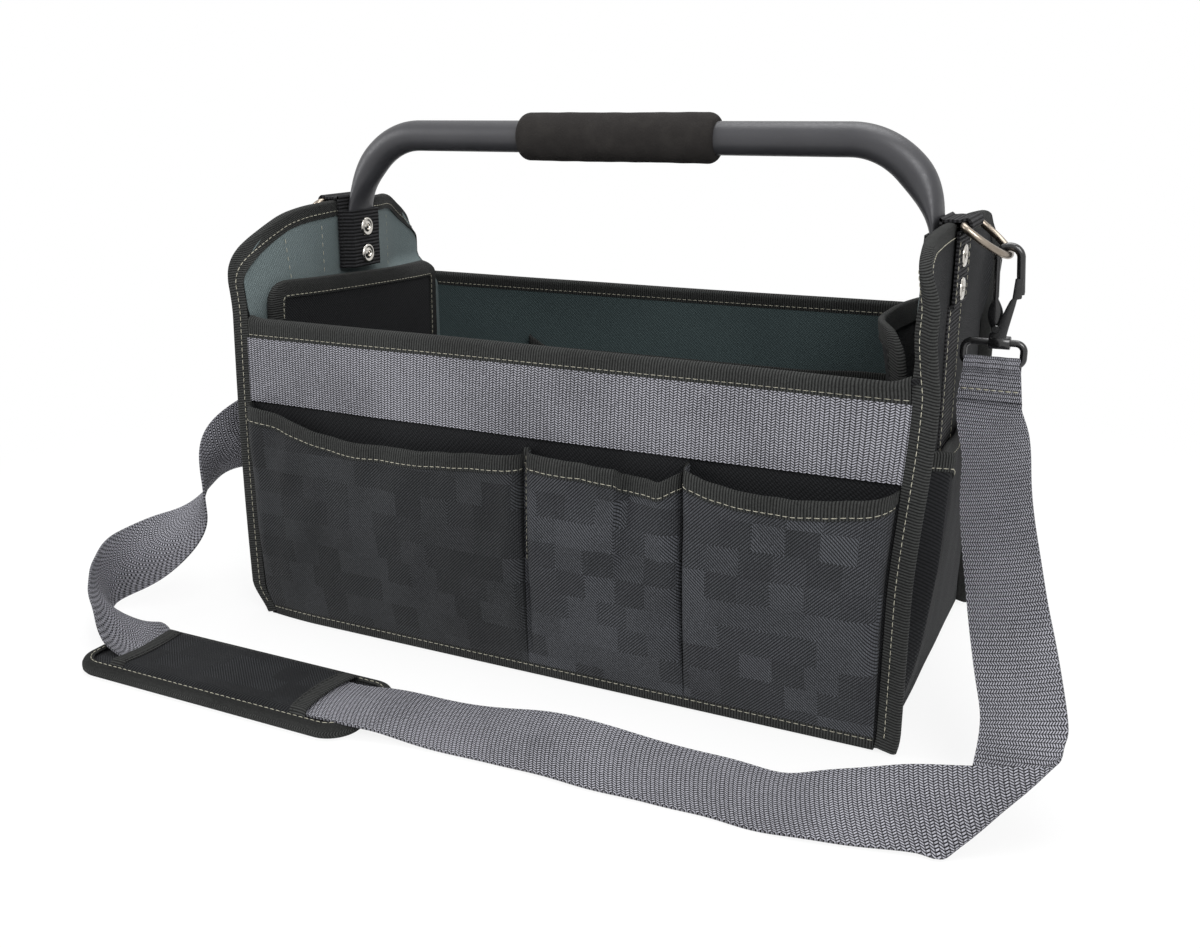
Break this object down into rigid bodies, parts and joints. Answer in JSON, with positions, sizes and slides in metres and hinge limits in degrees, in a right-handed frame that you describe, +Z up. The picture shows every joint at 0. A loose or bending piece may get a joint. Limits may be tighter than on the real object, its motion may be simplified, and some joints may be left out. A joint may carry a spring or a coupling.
{
  "type": "open-top tool bag",
  "caption": "Open-top tool bag with a rigid tube handle and foam grip, outside and inside pockets, and a hooked-on padded shoulder strap lying round its front.",
  "frame": {"origin": "on the floor under the middle of the base", "axes": "+X along the bag to the viewer's right, -Y out of the front wall, +Z up"},
  "size_m": [0.6722, 0.4074, 0.3621],
  "materials": {
    "shell_fabric": "matte black twill",
    "pocket_fabric": "matte black cloth with a tone-on-tone staggered check",
    "binding_tape": "matte black ribbed tape with off-white stitching",
    "lining_fabric": "matte grey-green",
    "base_board": "matte",
    "grey_webbing": "coarse grey webbing with a chevron weave",
    "black_webbing": "matte",
    "tube_paint": "satin",
    "grip_foam": "matte closed foam",
    "bright_nickel": "polished nickel",
    "black_steel": "satin black"
  },
  "bodies": {
    "bag": {"base_panel": "shell_fabric", "front_panel": "shell_fabric", "back_panel": "shell_fabric", "inner_back_pocket": "shell_fabric", "right_end_panel": "shell_fabric", "right_inner_pocket": "shell_fabric", "left_end_panel": "shell_fabric", "left_inner_pocket": "shell_fabric", "front_wide_pocket": "pocket_fabric", "front_middle_pocket": "pocket_fabric", "front_narrow_pocket": "pocket_fabric", "back_wide_pocket": "pocket_fabric", "back_middle_pocket": "pocket_fabric", "back_narrow_pocket": "pocket_fabric", "right_end_pocket": "pocket_fabric", "left_end_pocket": "pocket_fabric", "shoulder_pad": "pocket_fabric", "pad_sleeve": "pocket_fabric", "front_top_binding": "binding_tape", "back_top_binding": "binding_tape", "front_bottom_binding": "binding_tape", "back_bottom_binding": "binding_tape", "pad_binding": "binding_tape", "right_end_binding": "binding_tape", "left_end_binding": "binding_tape", "front_lining": "lining_fabric", "back_lining": "lining_fabric", "right_end_lining": "lining_fabric", "left_end_lining": "lining_fabric", "base_board": "base_board", "front_band": "grey_webbing", "back_band": "grey_webbing", "right_strap": "grey_webbing", "left_strap": "grey_webbing", "right_handle_sleeve": "black_webbing", "right_ring_tab": "black_webbing", "left_handle_sleeve": "black_webbing", "left_ring_tab": "black_webbing", "handle_tube": "tube_paint", "handle_grip": "grip_foam", "right_upper_rivet": "bright_nickel", "right_lower_rivet": "bright_nickel", "left_upper_rivet": "bright_nickel", "left_lower_rivet": "bright_nickel"},
    "right_ring": {"right_d_ring": "bright_nickel"},
    "right_snap_hook": {"right_hook": "black_steel", "right_gate_pin": "black_steel", "right_gate_spring": "black_steel"},
    "right_gate": {"right_hook_gate": "black_steel"},
    "right_loop": {"right_strap_loop": "black_steel", "right_strap_tail": "grey_webbing"},
    "left_ring": {"left_d_ring": "bright_nickel"},
    "left_snap_hook": {"left_hook": "black_steel", "left_gate_pin": "black_steel", "left_gate_spring": "black_steel"},
    "left_gate": {"left_hook_gate": "black_steel"},
    "left_loop": {"left_strap_loop": "black_steel", "left_strap_tail": "grey_webbing"}
  },
  "joints": [
    {"name": "right_ring_hinge", "type": "hinge", "parent": "bag", "child": "right_ring", "pos_m": [0.2355, 0, 0.297], "axis": [0, -1, 0], "range_deg": [0, 70], "deforming": ["right_strap"]},
    {"name": "right_hook_swing", "type": "hinge", "parent": "right_ring", "child": "right_snap_hook", "pos_m": [0.26002, 0, 0.27852], "axis": [0, -1, 0], "range_deg": [-3, 40], "deforming": ["right_strap"]},
    {"name": "right_gate_hinge", "type": "hinge", "parent": "right_snap_hook", "child": "right_gate", "pos_m": [0.25602, 0, 0.23327], "axis": [0, 1, 0], "range_deg": [0, 9], "stiffness_Nm_per_rad": 0.08},
    {"name": "right_loop_swivel", "type": "hinge", "parent": "right_snap_hook", "child": "right_loop", "pos_m": [0.25562, 0, 0.22477], "axis": [1, 0, 0], "range_deg": [-50, 50], "deforming": ["right_strap"]},
    {"name": "left_ring_hinge", "type": "hinge", "parent": "bag", "child": "left_ring", "pos_m": [-0.2355, 0, 0.297], "axis": [0, 1, 0], "range_deg": [0, 70], "deforming": ["left_strap"]},
    {"name": "left_hook_swing", "type": "hinge", "parent": "left_ring", "child": "left_snap_hook", "pos_m": [-0.26002, 0, 0.27852], "axis": [0, 1, 0], "range_deg": [-3, 40], "deforming": ["left_strap"]},
    {"name": "left_gate_hinge", "type": "hinge", "parent": "left_snap_hook", "child": "left_gate", "pos_m": [-0.25602, 0, 0.23327], "axis": [0, -1, 0], "range_deg": [0, 9], "stiffness_Nm_per_rad": 0.08},
    {"name": "left_loop_swivel", "type": "hinge", "parent": "left_snap_hook", "child": "left_loop", "pos_m": [-0.25562, 0, 0.22477], "axis": [1, 0, 0], "range_deg": [-50, 50], "deforming": ["left_strap"]}
  ]
}
